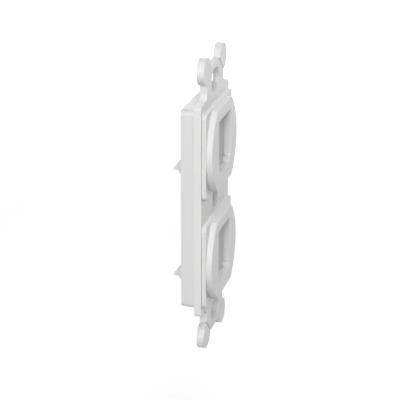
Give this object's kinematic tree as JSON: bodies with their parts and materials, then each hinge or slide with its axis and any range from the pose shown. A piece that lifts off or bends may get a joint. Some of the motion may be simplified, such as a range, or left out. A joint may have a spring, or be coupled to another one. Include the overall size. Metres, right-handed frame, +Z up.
{
  "type": "duplex module frame",
  "caption": "Moulded strap for a wall box with two round flat-sided faces, each with an opening that a snap-in module latches into, slotted necks and break-off ears.",
  "frame": {"origin": "centre of the strap's front face, midway between the two module faces", "axes": "+Z up along the strap, -Y out of the front towards the room, +X to the right as seen from the front"},
  "size_m": [0.0364, 0.0173, 0.103],
  "materials": {
    "white_plastic": "satin, injection moulded ABS"
  },
  "bodies": {
    "root": {"module_frame": "white_plastic"}
  },
  "joints": []
}
